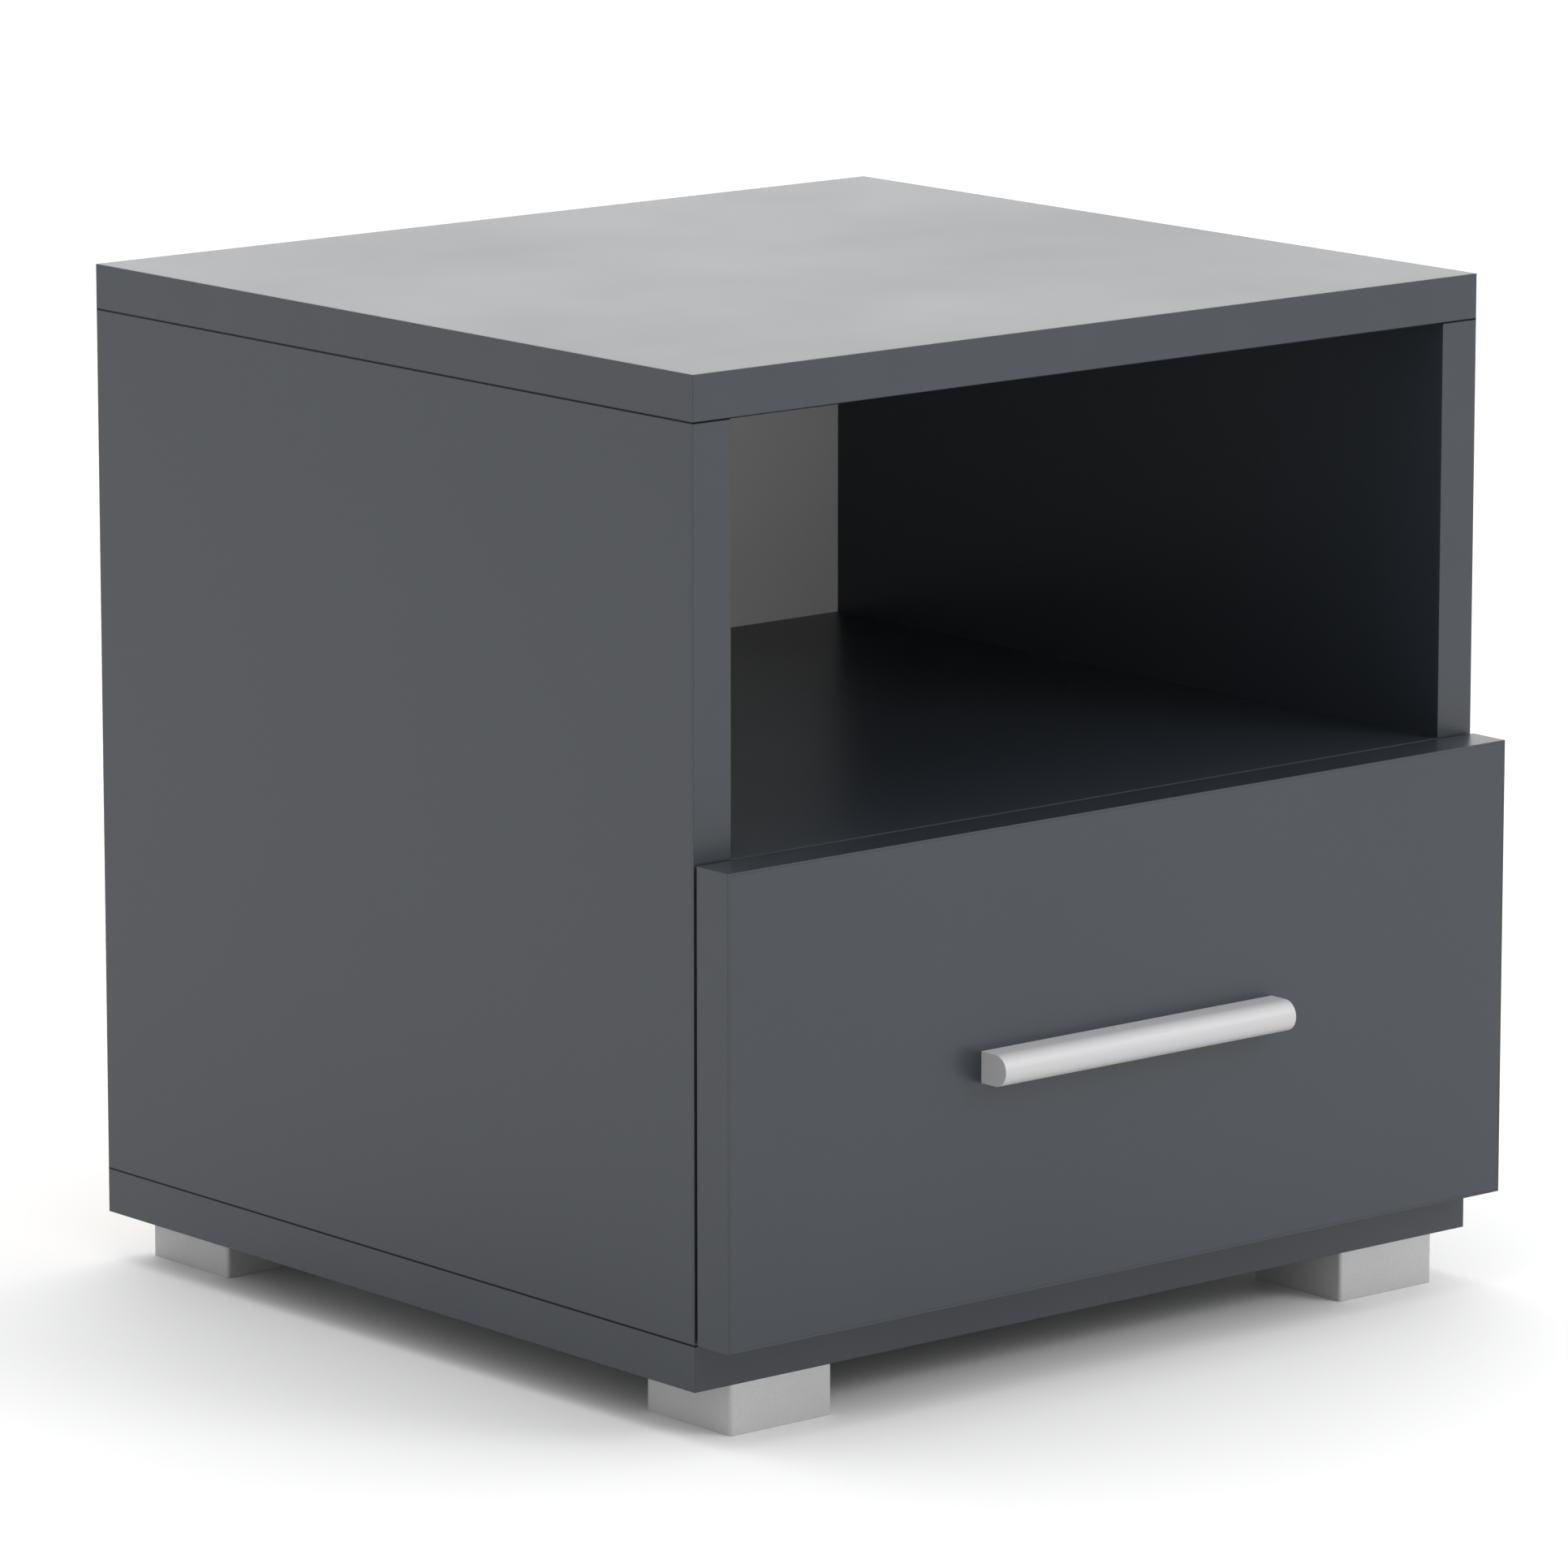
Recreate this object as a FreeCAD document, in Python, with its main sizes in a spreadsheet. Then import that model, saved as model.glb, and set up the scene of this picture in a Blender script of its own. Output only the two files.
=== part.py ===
import FreeCAD, Part
import os
import re

# Bedside table: an open niche above one drawer with an overlay front, on four block feet.
# Frame: millimetres, +X right, -Y is the front, +Z up.
# The origin is the centre of the footprint (handle included), on the floor.

DRIVING = {
    # Carcass
    "width": 400,
    "carcass_depth": 371,
    "side_height": 350,
    "board": 18,
    "band": 1,
    "niche_height": 166,
    "back_sheet": 3,
    "rebate_width": 9,
    "rebate_depth": 4.8,
    "back_play": 0.5,
    # Feet
    "foot_height": 20,
    "foot_size": 50,
    "foot_side_inset": 17.5,
    "foot_back_inset": 6,
    "foot_round": 1.5,
    "foot_screw_offset": 12,
    "foot_seat": 8,
    "foot_well_radius": 4.6,
    # Drawer
    "front_gap": 1.8,
    "front_lift": 0.5,
    "box_board": 12,
    "box_length": 330,
    "box_height": 120,
    "box_lift": 22,
    "box_sheet": 3,
    "groove_depth": 6,
    "groove_lift": 10,
    "sheet_play": 0.5,
    "groove_play": 0.2,
    # Handle
    "handle_length": 150,
    "handle_height": 12.4,
    "handle_depth": 14.2,
    "handle_pitch": 128,
    "handle_screw_depth": 8,
    # Joints between boards
    "hole_play": 0.1,
    "bolt_inset": 40,
    "dowel_inset": 75,
    "dowel_radius": 4,
    "dowel_in_face": 11,
    "dowel_in_end": 19,
    "bolt_radius": 3,
    "bolt_in_face": 11,
    "bolt_in_end": 32,
    "bolt_tunnel_radius": 4,
    "cam_reach": 34,
    "cam_radius": 7.5,
    "cam_depth": 13.5,
    "box_cam_reach": 24,
    "box_cam_radius": 6,
    "box_cam_depth": 9.5,
    "box_bolt_radius": 2.5,
    "box_bolt_in_end": 22,
    "box_tunnel_radius": 3,
    "box_dowel_radius": 3,
    "box_dowel_in_face": 10,
    "box_dowel_in_end": 15,
    "driver_slot_depth": 1.2,
    "driver_slot_half": 0.6,
    # Screws and nails
    "confirmat_length": 50,
    "confirmat_radius": 3.2,
    "confirmat_head_radius": 5,
    "nail_length": 16,
    "nail_radius": 0.8,
    "nail_head_radius": 2,
    "nail_head": 0.6,
    "foot_screw_length": 24,
    "foot_screw_radius": 1.9,
    "foot_screw_head_radius": 3.9,
    "foot_screw_head": 2.4,
    "back_screw_length": 40,
    "back_screw_radius": 1.9,
    "back_screw_head_radius": 3.8,
    "handle_screw_radius": 2,
    "handle_screw_head_radius": 4,
    "handle_screw_head": 2.4,
    "runner_screw_radius": 1.75,
    "cabinet_screw_length": 14,
    "cabinet_screw_head_radius": 2.8,
    "drawer_screw_length": 9,
    "drawer_screw_head_radius": 3.2,
    "drawer_screw_head": 1.6,
    # Roller runners
    "runner_gap": 12.5,
    "runner_length": 300,
    "runner_setback": 2,
    "runner_lift": 19,
    "steel": 1.2,
    "flange_reach": 10,
    "channel_height": 22.5,
    "roller_radius": 9.5,
    "roller_width": 5.5,
    "roller_offset": 3,
    "roller_bore": 2.55,
    "roller_play": 0.25,
    "recess_depth": 1,
    "recess_radius": 7.1,
    "hub_radius": 4,
    "axle_radius": 2.5,
    "axle_head_radius": 4.2,
    "axle_head": 0.8,
    "axle_play": 0.3,
    "front_roller_inset": 14,
    "rear_roller_inset": 11,
    "running_flange_gap": 2.5,
    "roller_to_flange": 0.75,
    "stop_height": 2.5,
    "stop_thickness": 3,
    "tab_height": 15,
    "travel": 225,
}

DERIVED = {
    "half_width": "=width / 2",
    "overall_depth": "=carcass_depth + front_gap + board + handle_depth",
    "carcass_rear": "=overall_depth / 2",
    "carcass_front": "=carcass_rear - carcass_depth",
    "side_inner": "=half_width - board",
    "side_bottom": "=foot_height + board",
    "side_top": "=side_bottom + side_height",
    "total_height": "=side_top + board",
    "shelf_top": "=side_top - niche_height",
    "shelf_bottom": "=shelf_top - board",
    "back_face": "=carcass_rear - rebate_depth",
    "back_rear": "=back_face + back_sheet",
    "front_rear": "=carcass_front - front_gap",
    "front_face": "=front_rear - board",
    "front_bottom": "=side_bottom + front_lift",
    "front_middle": "=(front_bottom + shelf_top) / 2",
    "box_outer": "=side_inner - runner_gap",
    "box_inner": "=box_outer - box_board",
    "box_bottom": "=side_bottom + box_lift",
    "box_top": "=box_bottom + box_height",
    "box_rear": "=front_rear + box_length",
    "box_back_face": "=box_rear - box_board",
    "groove_bottom": "=box_bottom + groove_lift",
    "groove_top": "=groove_bottom + box_sheet + groove_play",
    "runner_front": "=carcass_front + runner_setback",
    "runner_rear": "=runner_front + runner_length",
    "channel_floor": "=side_bottom + runner_lift",
    "channel_top": "=channel_floor + channel_height",
    "rear_roller_height": "=channel_floor + roller_radius + roller_play",
    "running_height": "=rear_roller_height + roller_radius + roller_to_flange",
    "front_roller_height": "=running_height - roller_play - roller_radius",
    "front_roller_y": "=runner_front + front_roller_inset",
    "rear_roller_y": "=runner_rear - rear_roller_inset",
    "stop_rise": "=roller_radius + roller_play - stop_height",
    "stop_reach": "=sqrt(roller_radius ^ 2 - stop_rise ^ 2) + axle_play",
    "stop_rear": "=rear_roller_y - travel - stop_reach",
    "handle_screw_length": "=board + handle_screw_depth",
}

# Places of repeated fasteners, as shares of the board or runner that they sit in
SIDE_NAIL_HEIGHTS = (0.12, 0.37, 0.63, 0.88)
SHELF_NAIL_REACH = 0.45
END_NAIL_REACH = 0.6
BOX_CAM_HEIGHTS = {"low": 0.3, "high": 0.8}
BOX_DOWEL_HEIGHT = 0.55
CABINET_SCREW_PLACES = (0.22, 0.5, 0.78)
DRAWER_SCREW_PLACES = (0.2, 0.8)
SLOT_REACH = 0.6

# The sheet's names for one kind of fastener: length, radius, head radius and, if raised, head height
CONFIRMAT = ("confirmat_length", "confirmat_radius", "confirmat_head_radius")
BACK_SCREW = ("back_screw_length", "back_screw_radius", "back_screw_head_radius")
CABINET_SCREW = ("cabinet_screw_length", "runner_screw_radius", "cabinet_screw_head_radius")
NAIL = ("nail_length", "nail_radius", "nail_head_radius", "nail_head")
FOOT_SCREW = ("foot_screw_length", "foot_screw_radius", "foot_screw_head_radius",
              "foot_screw_head")
HANDLE_SCREW = ("handle_screw_length", "handle_screw_radius", "handle_screw_head_radius",
                "handle_screw_head")
DRAWER_SCREW = ("drawer_screw_length", "runner_screw_radius", "drawer_screw_head_radius",
                "drawer_screw_head")

# Dowels: radius, depth in the face board and depth in the end board
CARCASS_DOWEL = ("dowel_radius", "dowel_in_face", "dowel_in_end")
BOX_DOWEL = ("box_dowel_radius", "box_dowel_in_face", "box_dowel_in_end")

# Cam fittings, by the part of the fitting
CARCASS_CAM = {"bolt": "bolt_radius", "in_end": "bolt_in_end", "reach": "cam_reach",
               "tunnel": "bolt_tunnel_radius", "depth": "cam_depth", "cam": "cam_radius"}
BOX_CAM = {"bolt": "box_bolt_radius", "in_end": "box_bolt_in_end", "reach": "box_cam_reach",
           "tunnel": "box_tunnel_radius", "depth": "box_cam_depth", "cam": "box_cam_radius"}

TURN = {
    "+x": FreeCAD.Rotation(FreeCAD.Vector(0, 1, 0), 90),
    "-x": FreeCAD.Rotation(FreeCAD.Vector(0, 1, 0), -90),
    "+y": FreeCAD.Rotation(FreeCAD.Vector(1, 0, 0), -90),
    "-y": FreeCAD.Rotation(FreeCAD.Vector(1, 0, 0), 90),
    "+z": FreeCAD.Rotation(),
    "-z": FreeCAD.Rotation(FreeCAD.Vector(1, 0, 0), 180),
}
SIDES = {"left": -1, "right": 1}
INWARD = {-1: "+x", 1: "-x"}
OUTWARD = {-1: "-x", 1: "+x"}

doc = FreeCAD.newDocument("BedsideTable")
sheet = doc.addObject("Spreadsheet::Sheet", "Sizes")
drilled = {}
sub_parts = []


def fill_sheet():
    """One row per size: its name in column A, its value in column B under the same alias."""
    rows = {**DRIVING, **DERIVED}
    for row, (name, value) in enumerate(rows.items(), start=1):
        sheet.set("A%d" % row, name)
        sheet.set("B%d" % row, str(value))
        sheet.setAlias("B%d" % row, name)
    doc.recompute()


def bind(feature, prop, text):
    """Bind a property to an expression written with the sheet's own names."""
    names = re.sub(r"[a-z]\w*", lambda word: "Sizes." + word.group(0), str(text))
    feature.setExpression(prop, names)


def place(feature, point, axis="+z"):
    feature.Placement = FreeCAD.Placement(FreeCAD.Vector(), TURN[axis])
    for letter, text in zip("xyz", point):
        bind(feature, "Placement.Base." + letter, text)


def box(name, x, y, z):
    """A block between the low and high values of each span."""
    feature = doc.addObject("Part::Box", name)
    for prop, span in zip(("Length", "Width", "Height"), (x, y, z)):
        bind(feature, prop, "(%s) - (%s)" % (span[1], span[0]))
    place(feature, (x[0], y[0], z[0]))
    return feature


def rod(name, start, axis, length, radius):
    feature = doc.addObject("Part::Cylinder", name)
    bind(feature, "Radius", radius)
    bind(feature, "Height", length)
    place(feature, start, axis)
    return feature


def cone(name, start, axis, length, radius, end_radius):
    feature = doc.addObject("Part::Cone", name)
    bind(feature, "Radius1", radius)
    bind(feature, "Radius2", end_radius)
    bind(feature, "Height", length)
    place(feature, start, axis)
    return feature


def fuse(name, pieces):
    if len(pieces) == 1:
        return pieces[0]
    feature = doc.addObject("Part::MultiFuse", name)
    feature.Shapes = pieces
    feature.Refine = True
    return feature


def cut(name, blank, tools):
    feature = doc.addObject("Part::Cut", name)
    feature.Base = blank
    feature.Tool = fuse(name + "_tools", tools)
    return feature


def keep(feature, label):
    """Name a finished sub-part after its node."""
    feature.Label = label
    sub_parts.append(feature)
    return feature


def keep_group(label, pieces):
    """Identical small pieces share one node as separate solids."""
    group = doc.addObject("Part::Compound", label)
    group.Links = pieces
    return keep(group, label)


def drill(board, tool):
    drilled.setdefault(board, []).append(tool)


def keep_board(label, blank):
    tools = drilled.get(label, [])
    feature = cut(label + "_cut", blank, tools) if tools else blank
    return keep(feature, label)


def span(side, near, far):
    """The X span between two distances from the centre plane, on the given side."""
    if side > 0:
        return near, far
    return "-(%s)" % far, "-(%s)" % near


def at(side, distance):
    return "%d * (%s)" % (side, distance)


def along(start, axis, distance):
    """The point a distance away from start, along an axis such as -x."""
    point = list(start)
    index = "xyz".index(axis[1])
    point[index] = "%s %s (%s)" % (point[index], axis[0], distance)
    return tuple(point)


def opposite(axis):
    return ("-" if axis[0] == "+" else "+") + axis[1]


# Joining pieces. Each takes the meeting point of two boards and the axis into the second one.

def dowel(name, start, axis, face_board, end_board, sizes):
    radius, in_face, in_end = sizes
    bottom = along(start, opposite(axis), in_face)
    pin = rod(name, bottom, axis, in_face + " + " + in_end, radius)
    hole = radius + " + hole_play"
    drill(face_board, rod(name + "_face", start, opposite(axis), in_face + " + hole_play", hole))
    drill(end_board, rod(name + "_end", start, axis, in_end + " + hole_play", hole))
    return pin


def cam_fitting(name, start, axis, boards, sizes, cam_start, cam_axis):
    """A bolt in the face board and the cam lock in the end board that grips it."""
    face_board, end_board = boards
    back = opposite(axis)
    bolt = rod(name + "_bolt", along(start, back, "bolt_in_face"), axis,
               "bolt_in_face + " + sizes["in_end"], sizes["bolt"])
    drill(face_board, rod(name + "_thread", start, back, "bolt_in_face + hole_play",
                          sizes["bolt"] + " + hole_play"))
    drill(end_board, rod(name + "_tunnel", start, axis, sizes["reach"], sizes["tunnel"]))
    drill(end_board, rod(name + "_pocket", cam_start, cam_axis, sizes["depth"],
                         sizes["cam"] + " + hole_play"))
    blank = rod(name + "_disc", cam_start, cam_axis, sizes["depth"], sizes["cam"])
    slot = rod(name + "_slot", start, axis, sizes["reach"], sizes["tunnel"])
    driver = box(name + "_driver", *driver_slot(cam_start, cam_axis, sizes["cam"]))
    return bolt, cut(name + "_lock", blank, [slot, driver])


def driver_slot(cam_start, cam_axis, cam_radius):
    """The shallow screwdriver slot across a cam's face."""
    reach = "%s * %s" % (cam_radius, SLOT_REACH)
    spans = []
    for letter, centre in zip("xyz", cam_start):
        if letter == cam_axis[1]:
            half = "driver_slot_depth"
        elif letter == "y":
            half = "driver_slot_half"
        else:
            half = reach
        spans.append(("%s - (%s)" % (centre, half), "%s + (%s)" % (centre, half)))
    return spans


def drill_through(name, start, axis, length, radius, boards):
    """A clearance hole for a screw's shank in every board that it passes."""
    for board in boards:
        drill(board, rod("%s_%s_hole" % (name, board), start, axis, length + " + hole_play",
                         radius + " + hole_play"))


def countersunk_screw(name, start, axis, sizes, boards):
    """A flat-headed screw flush with the surface at start."""
    length, radius, head_radius = sizes
    head_length = "%s - %s" % (head_radius, radius)
    head = cone(name + "_head", start, axis, head_length, head_radius, radius)
    shank = rod(name + "_shank", start, axis, length, radius)
    drill_through(name, start, axis, length, radius, boards)
    drill(boards[0], cone(name + "_sink", start, axis, head_length + " + hole_play",
                          head_radius + " + hole_play", radius))
    return fuse(name, [head, shank])


def seated_screw(name, start, axis, sizes, boards):
    """A raised-head screw or nail whose head rests on the surface at start."""
    length, radius, head_radius, head_height = sizes
    head = rod(name + "_head", start, opposite(axis), head_height, head_radius)
    shank = rod(name + "_shank", start, axis, length, radius)
    drill_through(name, start, axis, length, radius, boards)
    return fuse(name, [head, shank])


FRONT_AND_REAR = {"front": ("carcass_front", "+"), "rear": ("carcass_rear", "-")}


def inset(end, distance):
    """A Y position measured in from the front or the rear of the carcass."""
    edge, sign = FRONT_AND_REAR[end]
    return "%s %s %s" % (edge, sign, distance)


def carcass_joints():
    dowels = []
    bolts = []
    locks = []
    confirmats = []
    for hand, side in SIDES.items():
        panel = hand + "_side_panel"
        middle = at(side, "half_width - board / 2")
        inner = at(side, "side_inner")
        top_dowels = {"front": inset("front", "bolt_inset"), "rear": inset("rear", "bolt_inset"),
                      "middle": "(carcass_front + carcass_rear) / 2"}
        for end, y in top_dowels.items():
            dowels.append(dowel("top_dowel_%s_%s" % (hand, end), (middle, y, "side_top"), "-z",
                                "top_panel", panel, CARCASS_DOWEL))
        for end in FRONT_AND_REAR:
            tag = "%s_%s" % (hand, end)
            dowel_y = inset(end, "dowel_inset")
            bolt_y = inset(end, "bolt_inset")
            dowels.append(dowel("bottom_dowel_" + tag, (middle, dowel_y, "side_bottom"), "+z",
                                "bottom_panel", panel, CARCASS_DOWEL))
            dowels.append(dowel("shelf_dowel_" + tag, (inner, dowel_y, "shelf_top - board / 2"),
                                INWARD[side], panel, "middle_shelf", CARCASS_DOWEL))
            shelf_cam = (at(side, "side_inner - cam_reach"), bolt_y, "shelf_bottom")
            bolt, lock = cam_fitting("shelf_" + tag, (inner, bolt_y, "shelf_top - board / 2"),
                                     INWARD[side], (panel, "middle_shelf"), CARCASS_CAM,
                                     shelf_cam, "+z")
            bolts.append(bolt)
            locks.append(lock)
            confirmats.append(countersunk_screw("confirmat_" + tag, (middle, bolt_y, "foot_height"),
                                                "+z", CONFIRMAT, ("bottom_panel", panel)))
    keep_group("carcass_dowels", dowels)
    keep_group("shelf_cam_bolts", bolts)
    keep_group("shelf_cam_locks", locks)
    keep_group("bottom_confirmat_screws", confirmats)


def back_nails():
    """Nails through the back sheet into the rebates of the boards and the rear of the shelf."""
    nails = []
    side_x = "side_inner + rebate_width / 2"
    for hand, side in SIDES.items():
        for number, share in enumerate(SIDE_NAIL_HEIGHTS):
            nails.append((hand + "_side_panel", at(side, side_x),
                          "side_bottom + side_height * %s" % share, "%s_%d" % (hand, number)))
        nails.append(("middle_shelf", at(side, "half_width * %s" % SHELF_NAIL_REACH),
                      "shelf_top - board / 2", "shelf_" + hand))
    for number in (-1, 0, 1):
        x = "%d * half_width * %s" % (number, END_NAIL_REACH)
        nails.append(("top_panel", x, "side_top + rebate_width / 2", "top_%d" % (number + 1)))
        nails.append(("bottom_panel", x, "side_bottom - rebate_width / 2",
                      "bottom_%d" % (number + 1)))
    solids = []
    for board, x, z, tag in nails:
        solids.append(seated_screw("nail_" + tag, (x, "back_rear", z), "-y", NAIL,
                                   ("back_panel", board)))
    keep_group("back_panel_nails", solids)


def rear_rebate(board, x, z):
    drill(board, box(board + "_rebate", x, ("back_face", "carcass_rear + board"), z))


def flat_bands(name, z):
    """Front, left and right edge bands of a flat outer panel."""
    strips = [box(name + "_front", ("-half_width", "half_width"),
                  ("carcass_front", "carcass_front + band"), z)]
    for hand, side in SIDES.items():
        strips.append(box("%s_%s" % (name, hand), span(side, "half_width - band", "half_width"),
                          ("carcass_front + band", "carcass_rear"), z))
    keep_group(name, strips)


def flat_blank(name, z):
    return box(name, ("band - half_width", "half_width - band"),
               ("carcass_front + band", "carcass_rear"), z)


def carcass_boards():
    rebate_x = ("-(side_inner + rebate_width)", "side_inner + rebate_width")
    rear_rebate("top_panel", rebate_x, ("side_top - board", "side_top + rebate_width"))
    rear_rebate("bottom_panel", rebate_x, ("side_bottom - rebate_width", "side_bottom + board"))
    top = ("side_top", "total_height")
    bottom = ("foot_height", "side_bottom")
    keep_board("top_panel", flat_blank("top_blank", top))
    flat_bands("top_edge_bands", top)
    keep_board("bottom_panel", flat_blank("bottom_blank", bottom))
    flat_bands("bottom_edge_bands", bottom)
    for hand, side in SIDES.items():
        label = hand + "_side_panel"
        x = span(side, "side_inner", "half_width")
        z = ("side_bottom", "side_top")
        rear_rebate(label, span(side, "side_inner - board", "side_inner + rebate_width"),
                    ("side_bottom - board", "side_top + board"))
        keep_board(label, box(hand + "_side_blank", x, ("carcass_front + band", "carcass_rear"), z))
        keep(box(hand + "_side_band", x, ("carcass_front", "carcass_front + band"), z),
             hand + "_side_edge_band")
    shelf_x = ("-side_inner", "side_inner")
    shelf_z = ("shelf_bottom", "shelf_top")
    keep_board("middle_shelf", box("shelf_blank", shelf_x,
                                   ("carcass_front + band", "back_face"), shelf_z))
    keep(box("shelf_band", shelf_x, ("carcass_front", "carcass_front + band"), shelf_z),
         "shelf_edge_band")
    back_half = "side_inner + rebate_width - back_play"
    keep_board("back_panel", box("back_blank", ("-(%s)" % back_half, back_half),
                                 ("back_face", "back_rear"),
                                 ("side_bottom - rebate_width + back_play",
                                  "side_top + rebate_width - back_play")))


def rounded_block(name, x, y, z, round_size):
    """A block with its upright edges rounded, as a body with a parametric fillet."""
    body = doc.addObject("PartDesign::Body", name + "_body")
    block = body.newObject("PartDesign::AdditiveBox", name + "_block")
    for prop, reach in zip(("Length", "Width", "Height"), (x, y, z)):
        bind(block, prop, "(%s) - (%s)" % (reach[1], reach[0]))
    doc.recompute()
    upright = []
    for number, edge in enumerate(block.Shape.Edges, start=1):
        if abs(edge.tangentAt(edge.FirstParameter).z) > 0.9:
            upright.append("Edge%d" % number)
    fillet = body.newObject("PartDesign::Fillet", name + "_rounding")
    fillet.Base = (block, upright)
    bind(fillet, "Radius", round_size)
    place(body, (x[0], y[0], z[0]))
    return body


def feet():
    screws = []
    blocks = {}
    for hand, side in SIDES.items():
        x = span(side, "half_width - foot_side_inset - foot_size", "half_width - foot_side_inset")
        foot_middle = "half_width - foot_side_inset - foot_size / 2"
        rows = {"front": ("carcass_front", "carcass_front + foot_size"),
                "rear": ("carcass_rear - foot_back_inset - foot_size",
                         "carcass_rear - foot_back_inset")}
        for end, y in rows.items():
            label = "foot_%s_%s" % (end, hand)
            blocks[label] = rounded_block(label, x, y, ("0", "foot_height"), "foot_round")
            for step in (-1, 1):
                seat = ("%s + %d * foot_screw_offset" % (at(side, foot_middle), step),
                        "%s + foot_size / 2" % y[0], "foot_seat")
                name = "%s_screw_%s" % (label, "inner" if step < 0 else "outer")
                screws.append(seated_screw(name, seat, "+z", FOOT_SCREW, (label, "bottom_panel")))
                drill(label, rod(name + "_well", (seat[0], seat[1], "0"), "+z", "foot_seat",
                                 "foot_well_radius"))
    for label, block in blocks.items():
        keep_board(label, block)
    keep_group("foot_screws", screws)


def drawer_joints():
    bolts = []
    locks = []
    dowels = []
    screws = []
    for hand, side in SIDES.items():
        panel = "drawer_%s_side" % hand
        middle = at(side, "box_outer - box_board / 2")
        for level, share in BOX_CAM_HEIGHTS.items():
            tag = "drawer_%s_%s" % (hand, level)
            z = "box_bottom + box_height * %s" % share
            cam_centre = (at(side, "box_outer"), "front_rear + box_cam_reach", z)
            bolt, lock = cam_fitting(tag, (middle, "front_rear", z), "+y",
                                     ("drawer_front", panel), BOX_CAM, cam_centre, INWARD[side])
            bolts.append(bolt)
            locks.append(lock)
            screws.append(countersunk_screw(tag + "_screw",
                                            (at(side, "box_outer"), "box_rear - box_board / 2", z),
                                            INWARD[side], BACK_SCREW, (panel, "drawer_back")))
        dowel_z = "box_bottom + box_height * %s" % BOX_DOWEL_HEIGHT
        dowels.append(dowel("drawer_dowel_" + hand, (middle, "front_rear", dowel_z), "+y",
                            "drawer_front", panel, BOX_DOWEL))
    keep_group("drawer_cam_bolts", bolts)
    keep_group("drawer_cam_locks", locks)
    keep_group("drawer_dowels", dowels)
    keep_group("drawer_back_screws", screws)


def drawer_boards():
    groove_z = ("groove_bottom", "groove_top")
    groove_half = "box_inner + groove_depth"
    groove_end = "box_back_face + groove_depth"
    drill("drawer_front", box("front_groove", ("-(%s)" % groove_half, groove_half),
                              ("front_rear - groove_depth", "front_rear"), groove_z))
    drill("drawer_back", box("back_groove", ("-box_inner", "box_inner"),
                             ("box_back_face", groove_end), groove_z))
    keep_board("drawer_front", box("front_blank", ("band - half_width", "half_width - band"),
                                   ("front_face", "front_rear"),
                                   ("front_bottom + band", "shelf_top - band")))
    bands = []
    for hand, side in SIDES.items():
        bands.append(box("front_band_" + hand, span(side, "half_width - band", "half_width"),
                         ("front_face", "front_rear"), ("front_bottom", "shelf_top")))
    for name, z in {"top": ("shelf_top - band", "shelf_top"),
                    "bottom": ("front_bottom", "front_bottom + band")}.items():
        bands.append(box("front_band_" + name, ("band - half_width", "half_width - band"),
                         ("front_face", "front_rear"), z))
    keep_group("drawer_front_edge_bands", bands)
    for hand, side in SIDES.items():
        label = "drawer_%s_side" % hand
        drill(label, box(label + "_groove", span(side, "box_inner", groove_half),
                         ("front_rear", groove_end), groove_z))
        keep_board(label, box(label + "_blank", span(side, "box_inner", "box_outer"),
                              ("front_rear", "box_rear"), ("box_bottom", "box_top")))
    keep_board("drawer_back", box("drawer_back_blank", ("-box_inner", "box_inner"),
                                  ("box_back_face", "box_rear"), ("box_bottom", "box_top")))
    sheet_half = groove_half + " - sheet_play"
    keep(box("drawer_sheet", ("-(%s)" % sheet_half, sheet_half),
             ("front_rear - groove_depth + sheet_play", groove_end + " - sheet_play"),
             ("groove_bottom", "groove_bottom + box_sheet")), "drawer_bottom")


def handle():
    half = "handle_length / 2"
    radius = "handle_height / 2"
    flat = box("handle_flat", ("-(%s)" % half, half),
               ("front_face - handle_depth + %s" % radius, "front_face"),
               ("front_middle - %s" % radius, "front_middle + %s" % radius))
    nose = rod("handle_nose", ("-(%s)" % half, "front_face - handle_depth + %s" % radius,
                               "front_middle"), "+x", "handle_length", radius)
    screws = []
    for hand, side in SIDES.items():
        start = (at(side, "handle_pitch / 2"), "front_rear", "front_middle")
        screws.append(seated_screw("handle_screw_" + hand, start, "-y", HANDLE_SCREW,
                                   ("drawer_front", "handle_bar")))
    keep_board("handle_bar", fuse("handle_profile", [flat, nose]))
    keep_group("handle_screws", screws)


def axle(name, start, axis, roller_gap):
    """A riveted axle: through the steel web, a shoulder, the roller's seat and a head."""
    seat = "%s - steel - axle_play" % roller_gap
    stem_length = "%s + roller_width + axle_play" % roller_gap
    stem = rod(name + "_stem", start, axis, stem_length, "axle_radius")
    shoulder = rod(name + "_shoulder", along(start, axis, "steel"), axis, seat,
                   "axle_head_radius")
    head = rod(name + "_head", along(start, axis, stem_length), axis, "axle_head",
               "axle_head_radius")
    return fuse(name, [stem, shoulder, head])


def roller(label, x, y, z):
    """A roller bored for its axle, with a ring-shaped recess round its hub."""
    blank = rod(label + "_tread", (x, y, z), "+x", "roller_width", "roller_radius")
    bore = rod(label + "_bore", (x, y, z), "+x", "roller_width", "roller_bore")
    recess = rod(label + "_recess", (x, y, z), "+x", "recess_depth", "recess_radius")
    hub = rod(label + "_hub", (x, y, z), "+x", "recess_depth", "hub_radius")
    ring = cut(label + "_ring", recess, [hub])
    keep(cut(label + "_wheel", blank, [bore, ring]), label)


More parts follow.
